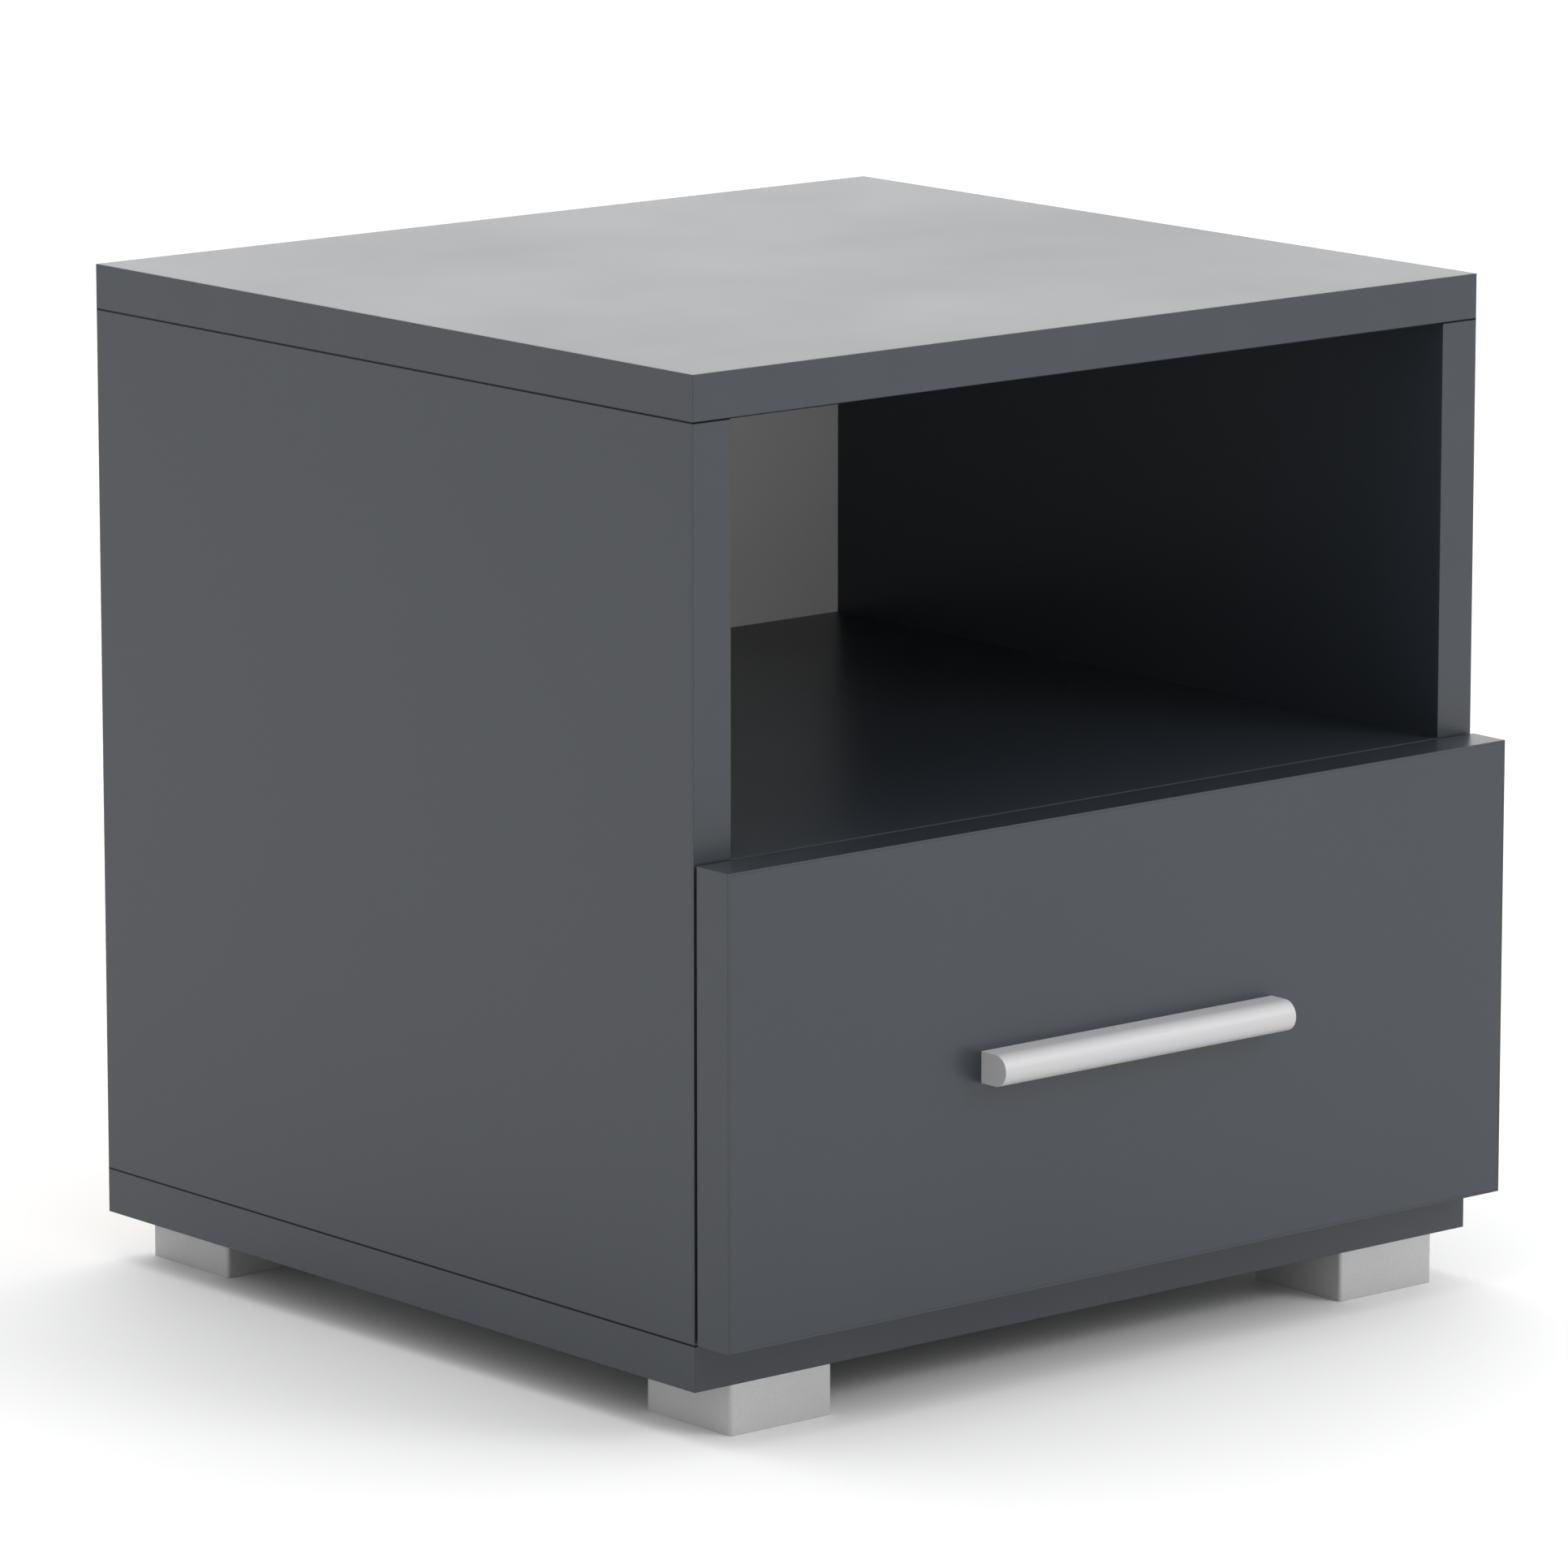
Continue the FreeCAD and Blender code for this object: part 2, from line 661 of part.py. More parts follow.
def cabinet_runner(hand, side):
    """The C channel on the carcass side, with a stop pressed up from its floor."""
    label = "cabinet_runner_" + hand
    y = ("runner_front", "runner_rear")

    def from_panel(near, far):
        return span(side, "side_inner - (%s)" % far, "side_inner - (%s)" % near)

    channel = [
        box(label + "_web", from_panel("0", "steel"), y,
            ("channel_floor - steel", "channel_top + steel")),
        box(label + "_floor", from_panel("0", "flange_reach"), y,
            ("channel_floor - steel", "channel_floor")),
        box(label + "_roof", from_panel("0", "flange_reach"), y,
            ("channel_top", "channel_top + steel")),
        box(label + "_stop", from_panel("steel", "flange_reach"),
            ("stop_rear - stop_thickness", "stop_rear"),
            ("channel_floor", "channel_floor + stop_height")),
        box(label + "_tab", from_panel("steel", "flange_reach"), ("runner_rear - steel", "runner_rear"),
            ("channel_floor", "channel_floor + tab_height")),
    ]
    drill(label, rod(label + "_rivet_hole", (at(side, "side_inner"), "front_roller_y",
                                             "front_roller_height"), INWARD[side], "steel",
                     "axle_radius + hole_play"))
    keep_board(label, fuse(label + "_profile", channel))


def drawer_runner(hand, side):
    """The profile under and beside the drawer, whose upper flange rides on the front roller."""
    label = "drawer_runner_" + hand
    y = ("runner_front", "runner_rear")
    web = span(side, "box_outer", "box_outer + steel")
    profile = [
        box(label + "_web", web, y, ("box_bottom - steel", "running_height + steel")),
        box(label + "_running_flange", span(side, "box_outer", "side_inner - running_flange_gap"),
            y, ("running_height", "running_height + steel")),
        box(label + "_seat", span(side, "box_inner", "box_outer + steel"), y,
            ("box_bottom - steel", "box_bottom")),
    ]
    drill(label, rod(label + "_rivet_hole", (at(side, "box_outer"), "rear_roller_y",
                                             "rear_roller_height"), OUTWARD[side], "steel",
                     "axle_radius + hole_play"))
    keep_board(label, fuse(label + "_profile", profile))


def runner_screws():
    cabinet = []
    drawer = []
    screw_height = "(channel_floor + channel_top) / 2"
    for hand, side in SIDES.items():
        for number, share in enumerate(CABINET_SCREW_PLACES):
            y = "runner_front + runner_length * %s" % share
            start = (at(side, "side_inner - steel"), y, screw_height)
            cabinet.append(countersunk_screw("cabinet_screw_%s_%d" % (hand, number), start,
                                             OUTWARD[side], CABINET_SCREW,
                                             ("cabinet_runner_" + hand, hand + "_side_panel")))
        for number, share in enumerate(DRAWER_SCREW_PLACES):
            y = "runner_front + runner_length * %s" % share
            start = (at(side, "box_outer - box_board / 2"), y, "box_bottom - steel")
            drawer.append(seated_screw("drawer_screw_%s_%d" % (hand, number), start, "+z",
                                       DRAWER_SCREW,
                                       ("drawer_runner_" + hand, "drawer_%s_side" % hand)))
    keep_group("cabinet_runner_screws", cabinet)
    keep_group("drawer_runner_screws", drawer)


def runners():
    cabinet_axles = []
    drawer_axles = []
    for hand, side in SIDES.items():
        roller_x = span(side, "side_inner - roller_offset - roller_width",
                        "side_inner - roller_offset")[0]
        roller("cabinet_roller_" + hand, roller_x, "front_roller_y", "front_roller_height")
        roller("drawer_roller_" + hand, roller_x, "rear_roller_y", "rear_roller_height")
        cabinet_axles.append(axle("cabinet_axle_" + hand,
                                  (at(side, "side_inner"), "front_roller_y", "front_roller_height"),
                                  INWARD[side], "roller_offset"))
        drawer_axles.append(axle("drawer_axle_" + hand,
                                 (at(side, "box_outer"), "rear_roller_y", "rear_roller_height"),
                                 OUTWARD[side], "runner_gap - roller_offset - roller_width"))
        cabinet_runner(hand, side)
        drawer_runner(hand, side)
    keep_group("cabinet_roller_axles", cabinet_axles)
    keep_group("drawer_roller_axles", drawer_axles)


def check_document():
    for feature in doc.Objects:
        if "Invalid" in feature.State or "Error" in feature.State:
            raise RuntimeError("%s did not recompute: %s" % (feature.Label, feature.State))
    for feature in sub_parts:
        if feature.Shape.isNull() or not feature.Shape.isValid():
            raise RuntimeError("%s has no valid shape" % feature.Label)


def export():
    os.makedirs("parts", exist_ok=True)
    for feature in sub_parts:
        feature.Shape.exportStep("parts/%s.step" % feature.Label)


fill_sheet()
carcass_joints()
back_nails()
feet()
runner_screws()
carcass_boards()
drawer_joints()
handle()
drawer_boards()
runners()
doc.recompute()
check_document()
export()
print("%d sub-parts" % len(sub_parts))
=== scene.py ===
import math
import bpy
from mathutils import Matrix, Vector


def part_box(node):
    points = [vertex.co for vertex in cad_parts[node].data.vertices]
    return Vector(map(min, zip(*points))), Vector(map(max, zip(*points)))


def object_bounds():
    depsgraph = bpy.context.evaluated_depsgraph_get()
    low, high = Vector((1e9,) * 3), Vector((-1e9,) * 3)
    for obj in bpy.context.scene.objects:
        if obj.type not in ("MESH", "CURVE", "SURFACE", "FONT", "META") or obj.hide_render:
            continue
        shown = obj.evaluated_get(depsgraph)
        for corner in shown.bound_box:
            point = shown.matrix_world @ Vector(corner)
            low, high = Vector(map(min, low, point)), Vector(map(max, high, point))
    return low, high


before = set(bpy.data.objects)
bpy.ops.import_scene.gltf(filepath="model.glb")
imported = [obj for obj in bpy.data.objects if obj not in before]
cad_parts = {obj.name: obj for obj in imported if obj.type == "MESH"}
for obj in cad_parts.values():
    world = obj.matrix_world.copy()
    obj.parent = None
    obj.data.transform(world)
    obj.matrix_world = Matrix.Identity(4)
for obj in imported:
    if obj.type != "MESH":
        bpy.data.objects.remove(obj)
cad_low, cad_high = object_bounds()
scene = bpy.context.scene

# Sizes in metres, read from the frame where it has them.
MM = 0.001
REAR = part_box("top_panel")[1].y
SIDE_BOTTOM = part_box("left_side_panel")[0].z
SIDE_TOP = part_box("left_side_panel")[1].z
BACK_MIDDLE = (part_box("back_panel")[0].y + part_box("back_panel")[1].y) / 2
SHEET_MIDDLE = (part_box("drawer_bottom")[0].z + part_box("drawer_bottom")[1].z) / 2

# The camera: where it stands round the object, and how far left of the middle it aims
AZIMUTH = math.radians(-40.1)
ELEVATION = math.radians(11.36)
DISTANCE = 3.8
TARGET_SHIFT = -0.0143
SENSOR_MM = 36.0
LENS_MM = 220.0

# The light: the backdrop's bright side, its strength there and opposite, and two round lamps
BRIGHT_SIDE = math.radians(-58.0)
BACKDROP_DIM = 0.75
BACKDROP_BRIGHT = 1.7
LAMP_TARGET = (0.0, 0.0, 0.2)
KEY_LAMP = {"place": (1.3, -2.5, 1.8), "size": 1.4, "power": 25.0}
TOP_LAMP = {"place": (-0.4, 0.4, 3.2), "size": 2.6, "power": 20.0}
FLOOR_SIZE = 60.0

# Noise mostly stays between these two values
NOISE_LOW = 0.3
NOISE_HIGH = 0.7
NOISE_ROUGHNESS = 0.55

# Half the width of a painted shade line where boards meet, and the share of it that is fully dark
SEAM_WIDTH = 0.55 * MM
LINE_CORE = 0.35

# Cosine of the turn between the flat and the rounded normal where an edge starts and is full
EDGE_START = 0.985
EDGE_FULL = 0.86

# Colours, linear RGB
GRAPHITE = (0.023, 0.028, 0.036)
GRAPHITE_WORN = (0.052, 0.060, 0.070)
# Darker tone laid along every rounded edge of the graphite boards and bands
GRAPHITE_EDGE = (0.010, 0.012, 0.016)
# Painted shade: near-black for the shadow in the gaps between boards
SEAM_SHADE_COLOUR = (0.002, 0.002, 0.003)
CHIP_DARK = (0.20, 0.12, 0.06)
CHIP_LIGHT = (0.55, 0.40, 0.24)
HARDBOARD = (0.19, 0.11, 0.055)
WHITE_LACQUER = (0.88, 0.88, 0.87)
WHITE_FOIL = (0.72, 0.72, 0.71)
SILVER_LACQUER = (0.42, 0.42, 0.425)
SATIN_METAL = (0.48, 0.48, 0.49)
POWDER_COAT = (0.70, 0.70, 0.69)
NYLON = (0.72, 0.71, 0.66)
BEECH_LIGHT = (0.60, 0.40, 0.22)
BEECH_DARK = (0.38, 0.22, 0.10)
ZINC = (0.56, 0.57, 0.58)
DIE_CAST = (0.34, 0.34, 0.35)
FOIL_EDGE = (0.45, 0.44, 0.42)
SILVER_BRIGHT = (0.60, 0.60, 0.61)
SILVER_DULL = (0.32, 0.32, 0.33)
METAL_STREAK = (0.44, 0.44, 0.45)
METAL_DULL = (0.50, 0.50, 0.49)
METAL_EDGE = (0.72, 0.72, 0.73)
POWDER_DULL = (0.60, 0.60, 0.59)
POWDER_EDGE = (0.45, 0.45, 0.45)
NYLON_AGED = (0.62, 0.60, 0.54)
FLOOR_LIGHT = (0.84, 0.84, 0.84)
FLOOR_DARK = (0.82, 0.82, 0.82)


class Recipe:
    """A material's node tree, built one node at a time."""

    def __init__(self, name):
        self.material = bpy.data.materials.new(name)
        self.material.use_nodes = True
        self.tree = self.material.node_tree
        self.shader = self.tree.nodes["Principled BSDF"]
        self.place = self.node("ShaderNodeTexCoord").outputs["Object"]
        split = self.node("ShaderNodeSeparateXYZ", Vector=self.place)
        self.x, self.y, self.z = split.outputs[:3]

    def feed(self, socket, value):
        """Link a socket to another node's output, or set its value."""
        if isinstance(value, bpy.types.NodeSocket):
            self.tree.links.new(value, socket)
        elif isinstance(value, tuple) and socket.type == "RGBA":
            socket.default_value = (*value, 1.0)
        else:
            socket.default_value = value

    def node(self, kind, settings=None, **inputs):
        made = self.tree.nodes.new(kind)
        for key, value in (settings or {}).items():
            setattr(made, key, value)
        for key, value in inputs.items():
            self.feed(made.inputs[key.replace("_", " ")], value)
        return made

    def math(self, operation, first, second=0.0):
        made = self.tree.nodes.new("ShaderNodeMath")
        made.operation = operation
        self.feed(made.inputs[0], first)
        self.feed(made.inputs[1], second)
        return made.outputs[0]

    def stretched(self, stretch):
        """Object coordinates that make a texture longer along an axis."""
        scale = tuple(1.0 / part for part in stretch)
        return self.node("ShaderNodeMapping", Vector=self.place, Scale=scale).outputs[0]

    def noise(self, size, detail, stretch=(1, 1, 1)):
        """Noise whose grains are about size metres across."""
        made = self.node("ShaderNodeTexNoise", Vector=self.stretched(stretch), Scale=1.0 / size,
                         Detail=detail, Roughness=NOISE_ROUGHNESS)
        return made.outputs["Fac"]

    def flakes(self, size, stretch=(1, 1, 1)):
        """Cells about size metres across: a random shade for each, and the distance inside it."""
        made = self.node("ShaderNodeTexVoronoi", Vector=self.stretched(stretch), Scale=1.0 / size)
        shade = self.node("ShaderNodeSeparateColor", Color=made.outputs["Color"]).outputs[0]
        return shade, made.outputs["Distance"]

    def span(self, value, low, high, out_low=0.0, out_high=1.0):
        """Value from low to high, mapped onto out_low to out_high and kept inside them."""
        made = self.node("ShaderNodeMapRange", Value=value, From_Min=low, From_Max=high,
                         To_Min=out_low, To_Max=out_high)
        return made.outputs[0]

    def vary(self, noise, out_low, out_high):
        """A noise spread over out_low to out_high."""
        return self.span(noise, NOISE_LOW, NOISE_HIGH, out_low, out_high)

    def mix(self, factor, first, second):
        made = self.tree.nodes.new("ShaderNodeMix")
        made.data_type = "RGBA"
        self.feed(made.inputs[0], factor)
        self.feed(made.inputs[6], first)
        self.feed(made.inputs[7], second)
        return made.outputs[2]

    def blend(self, colour, other, noise, amount):
        """A colour with patches of another, by a noise and up to an amount."""
        return self.mix(self.vary(noise, 0.0, amount), colour, other)

    def wear(self, colour, worn, edge, amount):
        """A colour that turns to a worn one along the edges, by an amount."""
        return self.mix(self.math("MULTIPLY", edge, amount), colour, worn)

    def near(self, value, line, width):
        """1 on a line across the object, 0 beyond width from it."""
        away = self.math("ABSOLUTE", self.math("SUBTRACT", value, line))
        return self.span(away, width * LINE_CORE, width, 1.0, 0.0)

    def shaded_seams(self, heights):
        """1 on the painted shade lines in the gaps where boards meet, at the given heights, 0
        elsewhere.
        """
        mask = 0.0
        for height in heights:
            mask = self.math("MAXIMUM", self.near(self.z, height, SEAM_WIDTH), mask)
        return mask

    def rounded(self, radius):
        """The surface normal with edges rounded to a radius, and a mask of those edges."""
        bevel = self.node("ShaderNodeBevel", {"samples": 4}, Radius=radius)
        flat = self.node("ShaderNodeNewGeometry").outputs["Normal"]
        dot = self.node("ShaderNodeVectorMath", {"operation": "DOT_PRODUCT"})
        self.feed(dot.inputs[0], bevel.outputs[0])
        self.feed(dot.inputs[1], flat)
        return bevel.outputs[0], self.span(dot.outputs["Value"], EDGE_START, EDGE_FULL)

    def bump(self, height, depth, strength, normal=None):
        made = self.node("ShaderNodeBump", Height=height, Distance=depth, Strength=strength)
        if normal is not None:
            self.feed(made.inputs["Normal"], normal)
        return made.outputs[0]

    def finish(self, colour, roughness, normal, metallic=0.0, level=0.5):
        self.feed(self.shader.inputs["Base Color"], colour)
        self.feed(self.shader.inputs["Roughness"], roughness)
        self.feed(self.shader.inputs["Normal"], normal)
        self.feed(self.shader.inputs["Metallic"], metallic)
        self.shader.inputs["Specular IOR Level"].default_value = level
        return self.material


def chipboard(recipe):
    """Pressed flakes, as seen on a raw board edge."""
    shade, distance = recipe.flakes(2.2 * MM, stretch=(1.8, 1.8, 0.6))
    wood = recipe.mix(shade, CHIP_DARK, CHIP_LIGHT)
    return wood, distance


def graphite_board(name, joints=()):
    """Matte melamine face; the rear edge is raw chipboard; the given joint heights get thin
    painted shade lines for the shadow in the gaps between boards.
    """
    recipe = Recipe(name)
    mottle = recipe.noise(0.16, detail=3.0)
    grain = recipe.noise(0.9 * MM, detail=3.0)
    pores = recipe.noise(0.25 * MM, detail=2.0)
    rounded, edge = recipe.rounded(radius=0.5 * MM)
    face = recipe.blend(GRAPHITE, GRAPHITE_WORN, mottle, amount=0.10)
    face = recipe.mix(recipe.span(grain, 0.35, 0.75, 0.0, 0.10), face, GRAPHITE_WORN)
    # Darker along every rounded edge.
    edge_darkening = recipe.math("MULTIPLY", edge, recipe.span(grain, 0.35, 0.7, 0.95, 0.45))
    face = recipe.mix(edge_darkening, face, GRAPHITE_EDGE)
    # Painted shade: thin dark lines for the shadow in the gaps where the side panels meet the top
    # and bottom; metallic follows them so they reflect nothing
    seam_shade = recipe.shaded_seams(joints)
    face = recipe.mix(seam_shade, face, SEAM_SHADE_COLOUR)
    wood, flake_edge = chipboard(recipe)
    raw = recipe.span(recipe.y, REAR - 0.3 * MM, REAR - 0.1 * MM)
    colour = recipe.mix(raw, face, wood)
    smooth = recipe.vary(mottle, 0.29, 0.34)
    smooth = recipe.math("ADD", smooth, recipe.vary(pores, -0.02, 0.03))
    roughness = recipe.math("MAXIMUM", smooth, recipe.math("MULTIPLY", raw, 0.85))
    height = recipe.math("ADD", recipe.math("MULTIPLY", grain, 0.5),
                         recipe.math("MULTIPLY", pores, 0.3))
    chips = recipe.math("MULTIPLY", raw, flake_edge)
    height = recipe.math("ADD", height, recipe.math("MULTIPLY", chips, 6.0))
    normal = recipe.bump(height, 0.05 * MM, strength=0.35, normal=rounded)
    return recipe.finish(colour, roughness, normal, metallic=seam_shade)


def graphite_band(name, joints=()):
    """Plastic edge band: the same grey, a little smoother, with faint milling marks."""
    recipe = Recipe(name)
    mottle = recipe.noise(0.05, detail=3.0)
    grain = recipe.noise(0.5 * MM, detail=3.0)
    rounded, edge = recipe.rounded(radius=0.5 * MM)
    face = recipe.blend(GRAPHITE, GRAPHITE_WORN, mottle, amount=0.12)
    # Darker along every rounded edge.
    edge_darkening = recipe.math("MULTIPLY", edge, recipe.vary(grain, 0.95, 0.45))
    face = recipe.mix(edge_darkening, face, GRAPHITE_EDGE)
    # Painted shade: thin dark lines for the shadow in the gaps where the side panels meet the top
    # and bottom; metallic follows them so they reflect nothing
    seam_shade = recipe.shaded_seams(joints)
    face = recipe.mix(seam_shade, face, SEAM_SHADE_COLOUR)
    roughness = recipe.vary(grain, 0.30, 0.38)
    normal = recipe.bump(grain, 0.04 * MM, strength=0.3, normal=rounded)
    return recipe.finish(face, roughness, normal, metallic=seam_shade)


def lacquered_sheet(name, position_of, middle, raw_above):
    """Thin hardboard: white lacquer on the face seen in use, bare brown fibre on the other."""
    recipe = Recipe(name)
    position = getattr(recipe, position_of)
    low, high = (0.0, 1.0) if raw_above else (1.0, 0.0)
    raw = recipe.span(position, middle - 0.05 * MM, middle + 0.05 * MM, low, high)
    mottle = recipe.noise(0.09, detail=3.0)
    fibre = recipe.noise(1.3 * MM, detail=5.0, stretch=(3, 1, 1))
    lacquer = recipe.blend(WHITE_LACQUER, WHITE_FOIL, mottle, amount=0.2)
    brown = recipe.blend(HARDBOARD, CHIP_DARK, fibre, amount=1.0)
    colour = recipe.mix(raw, lacquer, brown)
    roughness = recipe.math("ADD", recipe.vary(fibre, 0.42, 0.5),
                            recipe.math("MULTIPLY", raw, 0.35))
    depth = recipe.math("MULTIPLY", fibre, recipe.span(raw, 0.0, 1.0, 0.2, 1.0))
    normal = recipe.bump(depth, 0.15 * MM, strength=0.4)
    return recipe.finish(colour, roughness, normal)


def white_foil_board(name):
    """Drawer box board wrapped in white foil, a little grey along its edges."""
    recipe = Recipe(name)
    mottle = recipe.noise(0.07, detail=3.0)
    fine = recipe.noise(0.7 * MM, detail=3.0)
    rounded, edge = recipe.rounded(radius=0.5 * MM)
    colour = recipe.blend(WHITE_FOIL, WHITE_LACQUER, mottle, amount=0.4)
    colour = recipe.wear(colour, FOIL_EDGE, edge, amount=0.25)
    roughness = recipe.vary(fine, 0.38, 0.48)
    normal = recipe.bump(fine, 0.04 * MM, strength=0.3, normal=rounded)
    return recipe.finish(colour, roughness, normal)


def silver_foot(name):
    """Silver-lacquered plastic with fine metallic flakes."""
    recipe = Recipe(name)
    flake, _ = recipe.flakes(0.35 * MM)
    mottle = recipe.noise(0.02, detail=3.0)
    fine = recipe.noise(0.6 * MM, detail=3.0)
    rounded, edge = recipe.rounded(radius=0.6 * MM)
    colour = recipe.mix(recipe.span(flake, 0.2, 0.9, 0.0, 0.25), SILVER_LACQUER, SILVER_BRIGHT)
    colour = recipe.blend(colour, SILVER_DULL, mottle, amount=0.18)
    colour = recipe.wear(colour, SILVER_BRIGHT, edge, amount=0.3)
    roughness = recipe.vary(fine, 0.40, 0.50)
    normal = recipe.bump(fine, 0.05 * MM, strength=0.35, normal=rounded)
    return recipe.finish(colour, roughness, normal, metallic=0.25)


def satin_handle(name):
    """Satin metal, brushed along its length."""
    recipe = Recipe(name)
    streak = recipe.noise(1.2 * MM, detail=4.0, stretch=(60, 1, 1))
    hair = recipe.noise(0.25 * MM, detail=2.0, stretch=(90, 1, 1))
    mottle = recipe.noise(0.02, detail=3.0)
    rounded, edge = recipe.rounded(radius=0.35 * MM)
    colour = recipe.mix(recipe.span(streak, 0.35, 0.65, 0.0, 0.45), SATIN_METAL, METAL_STREAK)
    colour = recipe.blend(colour, METAL_DULL, mottle, amount=0.2)
    colour = recipe.wear(colour, METAL_EDGE, edge, amount=0.4)
    roughness = recipe.vary(hair, 0.44, 0.56)
    height = recipe.math("ADD", streak, recipe.math("MULTIPLY", hair, 0.5))
    normal = recipe.bump(height, 0.04 * MM, strength=0.5, normal=rounded)
    return recipe.finish(colour, roughness, normal, metallic=0.15)


def powder_coat(name):
    """White powder coat with a faint orange peel."""
    recipe = Recipe(name)
    peel = recipe.noise(1.1 * MM, detail=2.0)
    mottle = recipe.noise(0.04, detail=3.0)
    rounded, edge = recipe.rounded(radius=0.3 * MM)
    colour = recipe.blend(POWDER_COAT, POWDER_DULL, mottle, amount=0.3)
    colour = recipe.wear(colour, POWDER_EDGE, edge, amount=0.3)
    roughness = recipe.vary(peel, 0.32, 0.42)
    normal = recipe.bump(peel, 0.06 * MM, strength=0.4, normal=rounded)
    return recipe.finish(colour, roughness, normal)


def nylon(name):
    """Natural nylon with cloudy patches."""
    recipe = Recipe(name)
    mottle = recipe.noise(4 * MM, detail=3.0)
    fine = recipe.noise(0.3 * MM, detail=2.0)
    colour = recipe.blend(NYLON, NYLON_AGED, mottle, amount=0.5)
    roughness = recipe.vary(fine, 0.35, 0.48)
    normal = recipe.bump(fine, 0.03 * MM, strength=0.3)
    return recipe.finish(colour, roughness, normal)


def beech(name):
    """Beech with its grain along X and Z."""
    recipe = Recipe(name)
    grain = recipe.noise(0.8 * MM, detail=5.0, stretch=(6, 1, 6))
    fleck = recipe.noise(0.3 * MM, detail=2.0, stretch=(4, 1, 4))
    colour = recipe.blend(BEECH_LIGHT, BEECH_DARK, grain, amount=1.0)
    roughness = recipe.vary(fleck, 0.55, 0.7)
    normal = recipe.bump(grain, 0.1 * MM, strength=0.5)
    return recipe.finish(colour, roughness, normal)


def zinc(name, tint, low, high):
    """Bare or plated zinc with a faint spangle."""
    recipe = Recipe(name)
    spangle, _ = recipe.flakes(1.6 * MM)
    fine = recipe.noise(0.3 * MM, detail=3.0)
    darker = tuple(part * 0.8 for part in tint)
    colour = recipe.mix(recipe.span(spangle, 0.2, 0.8, 0.0, 0.6), tint, darker)
    roughness = recipe.vary(fine, low, high)
    normal = recipe.bump(fine, 0.03 * MM, strength=0.3)
    return recipe.finish(colour, roughness, normal, metallic=0.9)


def paint(nodes, material):
    """Give CAD nodes one material, with their shapes left alone."""
    for name in nodes:
        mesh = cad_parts[name].data
        mesh.materials.clear()
        mesh.materials.append(material)


def paint_everything():
    # Heights of the painted shade lines for the gaps between the side panels and the top and
    # bottom
    shaded_seams = (SIDE_BOTTOM, SIDE_TOP)
    paint(["top_panel", "bottom_panel", "middle_shelf", "drawer_front"],
          graphite_board("graphite_board"))
    paint(["left_side_panel", "right_side_panel"], graphite_board("graphite_side", shaded_seams))
    paint(["shelf_edge_band", "drawer_front_edge_bands"], graphite_band("graphite_band"))
    paint(["top_edge_bands", "bottom_edge_bands", "left_side_edge_band", "right_side_edge_band"],
          graphite_band("graphite_band_shaded_seams", shaded_seams))
    paint(["back_panel"], lacquered_sheet("white_back_sheet", "y", BACK_MIDDLE, True))
    paint(["drawer_bottom"], lacquered_sheet("white_drawer_sheet", "z", SHEET_MIDDLE, False))
    paint(["drawer_left_side", "drawer_right_side", "drawer_back"], white_foil_board("white_foil"))
    paint(["foot_front_left", "foot_front_right", "foot_rear_left", "foot_rear_right"],
          silver_foot("silver_foot"))
    paint(["handle_bar"], satin_handle("satin_handle"))
    paint(["cabinet_runner_left", "cabinet_runner_right", "drawer_runner_left",
           "drawer_runner_right"], powder_coat("powder_coat"))
    paint(["cabinet_roller_left", "cabinet_roller_right", "drawer_roller_left",
           "drawer_roller_right"], nylon("nylon"))
    paint(["carcass_dowels", "drawer_dowels"], beech("beech"))
    paint(["shelf_cam_locks", "drawer_cam_locks"], zinc("die_cast", DIE_CAST, 0.38, 0.5))
    paint(["shelf_cam_bolts", "drawer_cam_bolts", "bottom_confirmat_screws", "back_panel_nails",
           "foot_screws", "drawer_back_screws", "handle_screws", "cabinet_runner_screws",
           "drawer_runner_screws", "cabinet_roller_axles", "drawer_roller_axles"],
          zinc("plated_steel", ZINC, 0.26, 0.36))


def make_floor():
    """A large pale floor at the level of the feet."""
    bpy.ops.mesh.primitive_plane_add(size=FLOOR_SIZE, location=(0.0, 0.0, cad_low.z))
    floor = bpy.context.object
    floor.name = "studio_floor"
    recipe = Recipe("studio_floor")
    soft = recipe.noise(0.4, detail=2.0)
    colour = recipe.blend(FLOOR_LIGHT, FLOOR_DARK, soft, amount=0.02)
    roughness = recipe.vary(soft, 0.68, 0.72)
    normal = recipe.bump(soft, 0.1 * MM, strength=0.05)
    material = recipe.finish(colour, roughness, normal, level=0.2)
    floor.data.materials.append(material)


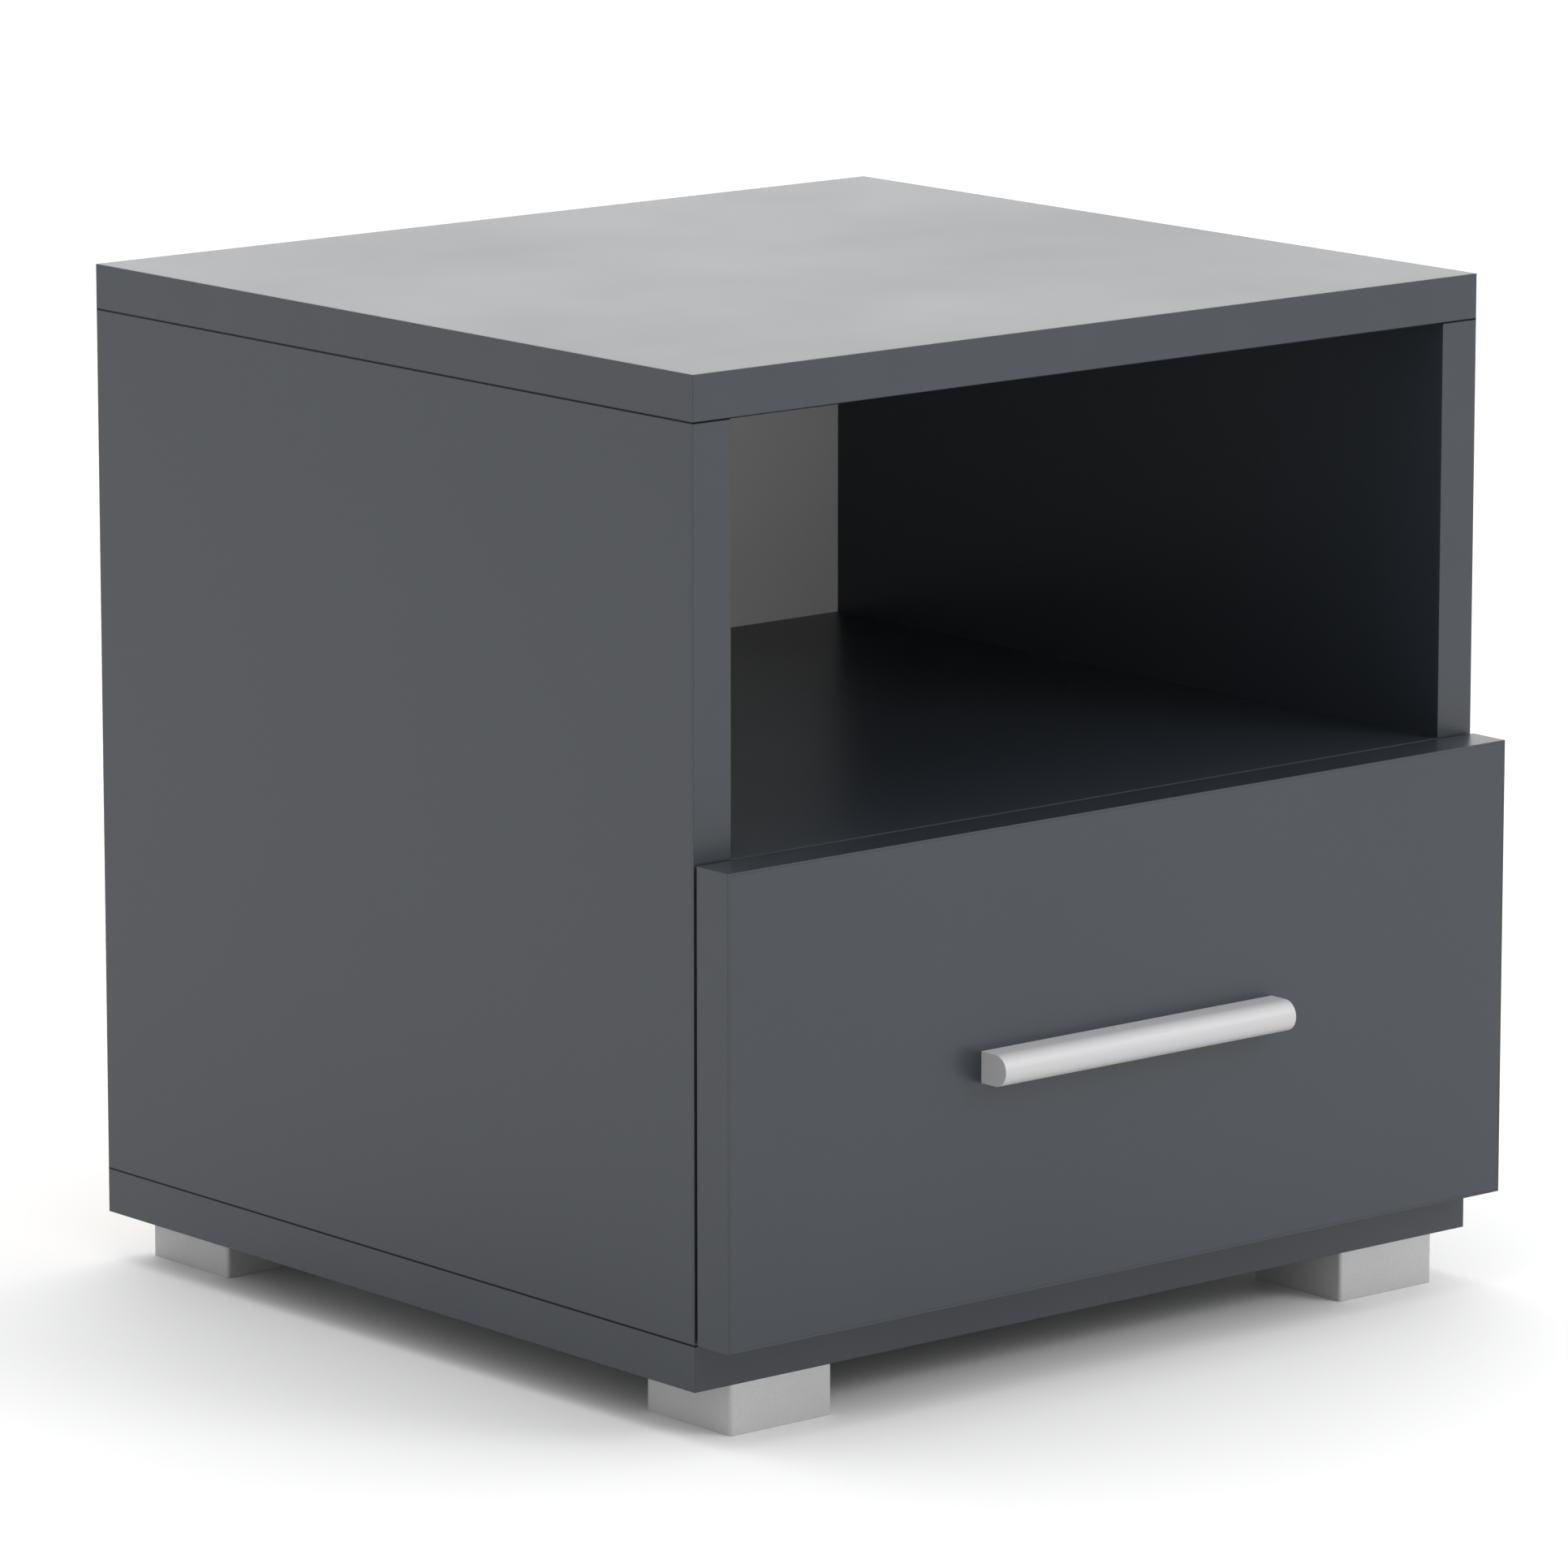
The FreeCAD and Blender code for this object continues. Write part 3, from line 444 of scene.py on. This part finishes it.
def area_light(name, place, size, power):
    """A round soft lamp that faces the object."""
    light = bpy.data.lights.new(name, "AREA")
    light.shape = "DISK"
    light.size = size
    light.energy = power
    lamp = bpy.data.objects.new(name, light)
    scene.collection.objects.link(lamp)
    lamp.location = place
    aim = Vector(LAMP_TARGET) - Vector(place)
    lamp.rotation_euler = aim.to_track_quat("-Z", "Y").to_euler()


def make_light():
    """A white studio, bright behind the object and dimmer in front, with two soft lamps."""
    world = bpy.data.worlds.new("studio_world")
    scene.world = world
    world.use_nodes = True
    tree = world.node_tree
    direction = tree.nodes.new("ShaderNodeTexCoord")
    toward_back = tree.nodes.new("ShaderNodeVectorMath")
    toward_back.operation = "DOT_PRODUCT"
    toward_back.inputs[1].default_value = (-math.sin(BRIGHT_SIDE), math.cos(BRIGHT_SIDE), 0.0)
    tree.links.new(direction.outputs["Generated"], toward_back.inputs[0])
    strength = tree.nodes.new("ShaderNodeMapRange")
    strength.inputs["From Min"].default_value = -1.0
    strength.inputs["To Min"].default_value = BACKDROP_DIM
    strength.inputs["To Max"].default_value = BACKDROP_BRIGHT
    tree.links.new(toward_back.outputs["Value"], strength.inputs["Value"])
    background = tree.nodes["Background"]
    background.inputs["Color"].default_value = (1.0, 1.0, 1.0, 1.0)
    tree.links.new(strength.outputs[0], background.inputs["Strength"])
    area_light("key", **KEY_LAMP)
    area_light("top_fill", **TOP_LAMP)


def make_camera():
    """The photograph's viewpoint: in front, to the left and a little above the object."""
    middle = (cad_low + cad_high) / 2
    target = middle + Vector((TARGET_SHIFT, 0.0, 0.0))
    back = Vector((math.sin(AZIMUTH) * math.cos(ELEVATION),
                   -math.cos(AZIMUTH) * math.cos(ELEVATION), math.sin(ELEVATION)))
    lens = bpy.data.cameras.new("photo_camera")
    lens.sensor_width = SENSOR_MM
    lens.lens = LENS_MM
    lens.clip_start = 0.05
    lens.clip_end = 100.0
    camera = bpy.data.objects.new("photo_camera", lens)
    scene.collection.objects.link(camera)
    camera.location = target + back * DISTANCE
    camera.rotation_euler = (-back).to_track_quat("-Z", "Y").to_euler()
    scene.camera = camera


scene.view_settings.view_transform = "Standard"
paint_everything()
make_floor()
make_light()
make_camera()
